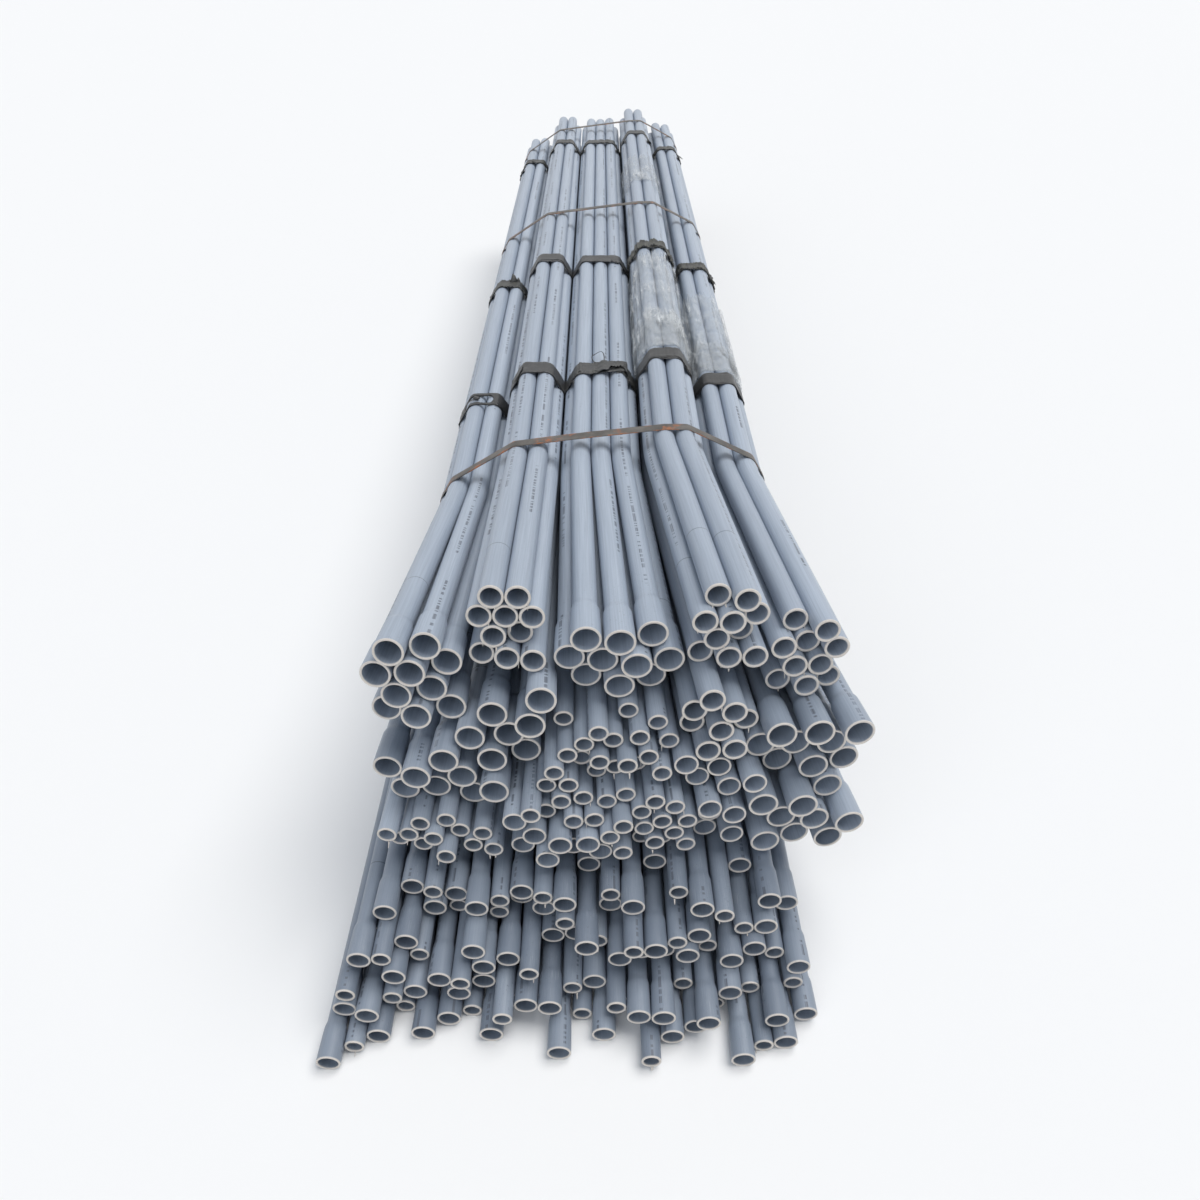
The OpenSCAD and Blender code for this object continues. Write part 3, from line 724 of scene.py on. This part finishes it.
def tape_turn(winding, y, width, slant, level, rng, wrinkle=1.0, near_torn=0, far_torn=0, blister=0):
    """One turn of tape: its edges wander, it is creased across, and it lies level metres out.
    near_torn and far_torn draw its edges in, and blister lifts it, each at every angle."""
    count = len(winding.angles)
    skew = slant * np.cos(winding.angles + rng.uniform(0, 2 * math.pi))
    near = y - width / 2 + skew + waves(rng, count, 2, 14, EDGE_WANDER) + near_torn
    far = y + width / 2 + skew + waves(rng, count, 2, 14, EDGE_WANDER) - far_torn
    creases = np.abs(waves(rng, count, 5, 40, CREASE * wrinkle))
    fine = np.abs(waves(rng, count, 30, 90, FINE_CREASE * wrinkle))
    roll = np.abs(waves(rng, count, 3, 16, EDGE_ROLL * wrinkle))
    phase = rng.uniform(0, 6)

    def lift(v):
        swell = 0.5 + 0.5 * math.cos(v * (6 + 5 * wrinkle) + phase)
        edge = abs(2 * v - 1) ** 4
        return level + creases * (0.12 + 0.48 * swell) + fine * (1 - swell) + roll * edge + blister

    return wound_strip(winding, near, far, lift, TAPE_THICK, TAPE_ROWS)


def ribbon(points, normals, widths, thick):
    """A free strip through points, its flat side along normals, as a thin closed prism."""
    points, normals = np.asarray(points, float), np.asarray(normals, float)
    ways = np.gradient(points, axis=0)
    sections = []
    for p, n, way, w in zip(points, normals, ways, widths):
        side = unit(np.cross(unit(way), n))
        up = unit(np.cross(side, unit(way))) * thick / 2
        half = side * w / 2
        sections += [p + half + up, p + half - up, p - half - up, p - half + up]
    return prism(sections)


def on_outline(winding, angle, y, out):
    """A point out metres outside the outline at an angle and a plane, and the way out there."""
    point = np.array([np.interp(angle % (2 * math.pi), winding.angles, column, period=2 * math.pi)
                      for column in winding.ring(np.full(len(winding.angles), y), out).T])
    return point, np.array([math.cos(angle), 0, math.sin(angle)])


def tail(winding, angle, turn, y, rise, width, rng):
    """A loose end of tape that leaves the outline at an angle and runs on for turn radians, lifting off
    and curling, to a torn tip."""
    points, normals, widths = [], [], []
    steps = 16
    drift, twist = rng.uniform(-0.012, 0.012), rng.uniform(-0.5, 0.5)
    for k in range(steps):
        t = k / (steps - 1)
        out = 0.0022 + rise * t * t * (1.25 - 0.5 * t)
        point, normal = on_outline(winding, angle + turn * t, y + drift * t, out)
        points.append(point)
        normals.append(normal + np.array([0, twist * t, 0]))
        torn_tip = t >= 0.85
        widths.append(width * (1.05 - t) * 1.6 if torn_tip
                      else width * (1 - 0.25 * t) * (1 + 0.1 * rng.normal()))
    return ribbon(points, normals, widths, TAPE_THICK * 1.3)


def string_loop(winding, angle, y, size, thick):
    """A loop of drawn-out tape that stands up from the outline at an angle."""
    base, normal = on_outline(winding, angle, y, 0.0012)
    along = np.array([0, 1, 0.0])
    aside = np.cross(along, normal)
    points, normals = [], []
    for k in range(19):
        a = 2 * math.pi * k / 18 * 0.93 - math.pi / 2 + 0.2
        points.append(base + size * (aside * 0.55 * math.cos(a) + along * (math.sin(a) + 1) * 0.75
                                     + normal * 0.22 * (1 + math.sin(2.3 * a) * 0.6 + math.sin(a))))
        normals.append(normal + 0.4 * aside * math.sin(a))
    widths = [thick * (1 + 0.3 * math.sin(k * 1.7)) for k in range(19)]
    return ribbon(points, normals, widths, TAPE_THICK * 2)


def spike(winding, angle, y, height, width):
    """A torn corner of tape that stands straight out from the outline."""
    base, normal = on_outline(winding, angle, y, 0.0004)
    lean = np.array([-0.25, 0.35, 0])
    points = [base + (normal + lean * t) * height * t for t in (0, 0.25, 0.5, 0.75, 1)]
    widths = [width * w for w in (1, 0.85, 0.6, 0.42, 0.06)]
    return ribbon(points, [np.array([0.15, -1, 0.2])] * 5, widths, TAPE_THICK * 1.4)


def knot(winding, angle, y, size, rng):
    """A lump of tape wound over itself."""
    base, normal = on_outline(winding, angle, y, size * 0.35)
    rows, around = 9, 14
    verts = []
    axes = [np.array([1, 0, 0]), np.array([0, 1, 0]), np.array([0, 0, 1])]
    lumps = [(unit(rng.normal(size=3)), rng.uniform(0.1, 0.3)) for _ in range(9)]
    for i in range(1, rows):
        for j in range(around):
            polar, turn = math.pi * i / rows, 2 * math.pi * j / around
            way = (axes[0] * math.sin(polar) * math.cos(turn) * 1.3 + axes[1] * math.cos(polar)
                   + axes[2] * math.sin(polar) * math.sin(turn) * 0.6)
            r = size / 2 * (1 + sum(h * max(unit(way) @ d, 0) ** 6 for d, h in lumps) - 0.1)
            verts.append(base + way * r)
    faces = []
    for i in range(rows - 2):
        for j in range(around):
            n = (j + 1) % around
            faces.append([i * around + j, i * around + n, (i + 1) * around + n, (i + 1) * around + j])
    for start, order in ((0, -1), ((rows - 2) * around, 1)):
        cap = len(verts)
        verts.append(np.mean(verts[start:start + around], 0))
        for j in range(0, around, 2):
            a, b, c = start + j, start + (j + 1) % around, start + (j + 2) % around
            faces.append([cap, a, b, c][::order] if order == 1 else [cap, c, b, a])
    return np.array(verts), np.array(faces), np.zeros((len(faces), 4, 2))


def tape_rings(node):
    """The extent along Y of each of the node's rings, nearest first."""
    return sorted((p[:, 1].min(), p[:, 1].max()) for p in islands(node))


NEAR, MIDDLE, FAR = 0, 1, 2
TOP = math.pi / 2
# how each ring of tape has aged, by pack and place: wrinkles, age of its colour, torn length of its edges
RAGGED = {("middle", MIDDLE): (3.2, 1.0, 0.005), ("right", MIDDLE): (3.0, 1.0, 0.006),
          ("flank", MIDDLE): (2.0, 0.5, 0.006), ("centre", NEAR): (1.8, 0.2, 0.003),
          ("flank", FAR): (2.2, 0.3, 0.008), ("left", FAR): (1.2, 0.1, 0.001),
          ("right", FAR): (2.0, 0.6, 0.007), ("centre", FAR): (1.6, 0.2, 0.004)}


def wind_tape(node):
    name = node[len("tape_"):]
    rng = np.random.default_rng(40 + sum(ord(letter) for letter in name))
    parts = Parts()
    for place, (low, high) in enumerate(tape_rings(node)):
        winding = Winding(packs[name], low, high, TAPE_COUNT)
        wrinkle, aged, torn = RAGGED.get((name, place), (0.8, 0.0, 0.0))
        y, width, angles = (low + high) / 2, high - low, winding.angles
        level = LIFT_OFF
        near_torn = far_torn = blister = np.zeros(TAPE_COUNT)
        if torn:
            near_torn, far_torn = jags(rng, TAPE_COUNT, torn), jags(rng, TAPE_COUNT, torn)
        if (name, place) == ("centre", NEAR):
            gap = window(angles, TOP - 0.5, 0.16)
            near_torn = near_torn + gap * (0.012 + jags(rng, TAPE_COUNT, 0.014))
            far_torn = far_torn + window(angles, TOP - 0.35, 0.3) * jags(rng, TAPE_COUNT, 0.009)
            blister = window(angles, TOP - 0.4, 0.3, 0.3) * 0.0025
        for turn in range(TAPE_TURNS):
            part = width * rng.uniform(0.80, 0.97)
            shift = (width - part) / 2 * rng.uniform(-1, 1)
            slant = rng.uniform(0.0008, 0.003)
            cuts = [(near_torn, far_torn)]
            if (name, place) == ("flank", NEAR):
                split = window(angles, TOP + 0.25, 0.42, 0.2) * part
                cuts = [(near_torn, far_torn + split * 0.84), (near_torn + split * 0.82, far_torn)]
            for number, (near_cut, far_cut) in enumerate(cuts):
                strip = tape_turn(winding, y + shift, part, slant, level + LIFT_OFF * number, rng,
                                  wrinkle, near_cut, far_cut, blister * (1 + turn))
                parts.add(*strip, aged=aged)
            level += TURN_STEP * (1.4 if wrinkle > 2 else 1)
        extras = []
        if (name, place) == ("centre", NEAR):
            extras = [string_loop(winding, TOP + 0.1, high - 0.004, 0.022, 0.0016),
                      tail(winding, TOP - 0.15, -0.8, low + 0.012, 0.011, 0.012, rng),
                      tail(winding, TOP - 0.55, -0.35, low + 0.006, 0.006, 0.005, rng)]
        elif (name, place) == ("flank", NEAR):
            extras = [knot(winding, TOP + 0.25, y, 0.011, rng),
                      tail(winding, TOP + 0.2, 0.5, y, 0.004, 0.005, rng)]
        elif (name, place) == ("flank", MIDDLE):
            extras = [spike(winding, TOP - 0.15, high - 0.01, 0.020, 0.022),
                      spike(winding, TOP - 0.3, high - 0.006, 0.011, 0.012)]
        elif (name, place) == ("centre", MIDDLE):
            extras = [tail(winding, TOP - 0.75, 0.3, low - 0.008, 0.006, 0.014, rng),
                      knot(winding, TOP - 0.7, low - 0.006, 0.010, rng)]
        elif (name, place) == ("right", FAR):
            extras = [tail(winding, TOP - 0.7, -0.45, y, 0.014, 0.024, rng)]
        elif (name, place) == ("right", MIDDLE):
            extras = [tail(winding, TOP - 0.7, -0.5, y, 0.008, 0.02, rng)]
        elif rng.uniform() < 0.6:
            angle, run = rng.uniform(0.6, 2.5), rng.choice([-0.3, 0.3])
            extras = [tail(winding, angle, run, y, 0.003, width * 0.85, rng)]
        for extra in extras:
            parts.add(*extra, aged=aged)
    put_on(parts.piece("look_" + node), tape_finish, "tape", node)


for node in sorted(n for n in wound if n.startswith("tape_")):
    wind_tape(node)

# ---- the film -----------------------------------------------------------------------------------

FILM_COUNT, FILM_ROWS = 260, 72         # places round a sleeve, and along it
FOLDS = 210
FOLD_CREST = 0.0065     # no fold stands higher
NEAR_FRAY, FAR_FRAY = 0.008, 0.05       # how far the ends of a sleeve are torn back
DOUBLE_FROM = 0.4       # a sleeve longer than this has a second layer
DOUBLE_SHARE = 0.36     # over this share of it
FIRST_LEVEL, SECOND_LEVEL = 0.0004, 0.0011


def crumple(rng, count, rows, folds):
    """Heights of a crinkled sheet wound once round: sharp folds along it, and fewer across."""
    around = np.arange(count) / count
    along = np.linspace(0, 1, rows)
    height = np.zeros((rows, count))
    for _ in range(folds):
        u0, v0 = rng.uniform(0, 1), rng.uniform(0, 1)
        slant = rng.normal() * 0.12
        reach = rng.uniform(0.08, 0.4)
        wide = rng.uniform(0.005, 0.018)
        lift = rng.uniform(0.0008, 0.0046)
        off = (around[None, :] - u0 - slant * (along[:, None] - v0) + 0.5) % 1 - 0.5
        fade = np.exp(-((along[:, None] - v0) / reach) ** 2)
        height += lift * fade * np.maximum(1 - np.abs(off) / wide, 0)
    for _ in range(folds // 3):
        u0, v0 = rng.uniform(0, 1), rng.uniform(0, 1)
        slant = rng.normal() * 0.5
        off = along[:, None] - v0 - slant * ((around[None, :] - u0 + 0.5) % 1 - 0.5)
        fade = np.exp(-(((around[None, :] - u0 + 0.5) % 1 - 0.5) / 0.08) ** 2)
        height += rng.uniform(0.0005, 0.0018) * fade * np.maximum(1 - np.abs(off) / 0.012, 0)
    return np.minimum(height, FOLD_CREST)


def film_sleeve(parts, pack, low, high, near_fray, far_fray, level, rows, rng):
    """Film wound round a pack from low to high, its ends torn back by up to the two frays."""
    winding = Winding(pack, low, high, FILM_COUNT)

    def torn(fray):
        return np.abs(waves(rng, FILM_COUNT, 1, 20, fray * 0.3)) + jags(rng, FILM_COUNT, fray)

    near, far = low + torn(near_fray), high - torn(far_fray)
    height = crumple(rng, FILM_COUNT, rows, FOLDS)
    strip = wound_strip(winding, near, far, lambda v: level + height[round(v * (rows - 1))],
                        FILM_THICK, rows)
    folded = np.concatenate([height.ravel(), np.tile(height.mean(0), 2)]) / FOLD_CREST
    parts.add(*strip, folded=folded)


def pack_at(middle):
    """The pack that lies round a place."""
    def off(pack):
        return abs(np.mean([across(Line(c), middle[1])[0] for c in pack]) - middle[0])

    return min(packs.values(), key=off)


film = Parts()
rng = np.random.default_rng(5)
for points in sorted(islands("film_sleeves"), key=lambda p: (p[:, 1].min(), p[:, 0].mean())):
    pack, low, high = pack_at(points.mean(0)), points[:, 1].min(), points[:, 1].max()
    film_sleeve(film, pack, low, high, NEAR_FRAY, FAR_FRAY, FIRST_LEVEL, FILM_ROWS, rng)
    if high - low > DOUBLE_FROM:
        film_sleeve(film, pack, low + 0.002, low + DOUBLE_SHARE * (high - low), 0.5 * NEAR_FRAY,
                    0.6 * FAR_FRAY, SECOND_LEVEL, FILM_ROWS // 2, rng)
put_on(film.piece("look_film_sleeves"), film_finish, "film", "film_sleeves")

# ---- floor, light and camera --------------------------------------------------------------------

FLOOR = [(-60, -20, 0), (60, -20, 0), (60, 90, 0), (-60, 90, 0)]
floor_mesh = bpy.data.meshes.new("floor")
floor_mesh.from_pydata(FLOOR, [], [(0, 1, 2, 3)])
floor = bpy.data.objects.new("floor", floor_mesh)
bpy.context.scene.collection.objects.link(floor)
floor_material, _, floor_shader = finish_of("floor", (0.88, 0.88, 0.88), 0.9)
floor_shader.inputs["Specular IOR Level"].default_value = 0.1
floor_mesh.materials.append(floor_material)


def sun(name, toward, strength, spread, tint):
    light = bpy.data.lights.new(name, "SUN")
    light.energy, light.angle, light.color = strength, math.radians(spread), tint
    lamp = bpy.data.objects.new(name, light)
    lamp.rotation_mode = "QUATERNION"
    lamp.rotation_quaternion = Vector(toward).to_track_quat("-Z", "Y")
    bpy.context.scene.collection.objects.link(lamp)


sun("key", (-0.35, -0.12, -1), 2.3, 45, (1.0, 0.985, 0.96))
sun("front", (0.35, 0.8, -0.62), 0.9, 60, (0.93, 0.96, 1.0))

# the world lights softly, and where it is seen, mirrored or looked through it is white
SKY, SKY_STRENGTH = (0.80, 0.88, 1.0, 1), 0.28
world = bpy.data.worlds.new("studio")
bpy.context.scene.world = world
world.use_nodes = True
w = Wire(world.node_tree)
background = world.node_tree.nodes["Background"]
output = world.node_tree.nodes["World Output"]
background.inputs["Color"].default_value = SKY
background.inputs["Strength"].default_value = SKY_STRENGTH
seen = w.node("ShaderNodeBackground")
seen.inputs["Color"].default_value = (1, 1, 1, 1)
seen.inputs["Strength"].default_value = 1.0
rays = w.node("ShaderNodeLightPath")
share = w.math("ADD", rays.outputs["Is Camera Ray"],
               w.math("ADD", rays.outputs["Is Glossy Ray"], rays.outputs["Is Transmission Ray"]), clamp=True)
both = w.node("ShaderNodeMixShader")
w.put(both.inputs[0], share)
w.put(both.inputs[1], background.outputs[0])
w.put(both.inputs[2], seen.outputs[0])
w.put(output.inputs["Surface"], both.outputs[0])

# the photograph's view, from above and in front of the highest near end
LENS, SENSOR = 28.8, 36
FROM_TOP = (0.0095, -0.92, 0.72)        # X itself, then back from the end and up
TILT = math.radians(52)
camera = bpy.data.objects.new("camera", bpy.data.cameras.new("camera"))
bpy.context.scene.collection.objects.link(camera)
bpy.context.scene.camera = camera
camera.data.lens, camera.data.sensor_width = LENS, SENSOR
top = max((c["near"] for c in banded), key=lambda p: p[2])
camera.location = (FROM_TOP[0], top[1] + FROM_TOP[1], top[2] + FROM_TOP[2])
camera.rotation_euler = (TILT, 0, 0)
camera.data.clip_start, camera.data.clip_end = 0.05, 100

bpy.context.scene.view_settings.view_transform = "Standard"
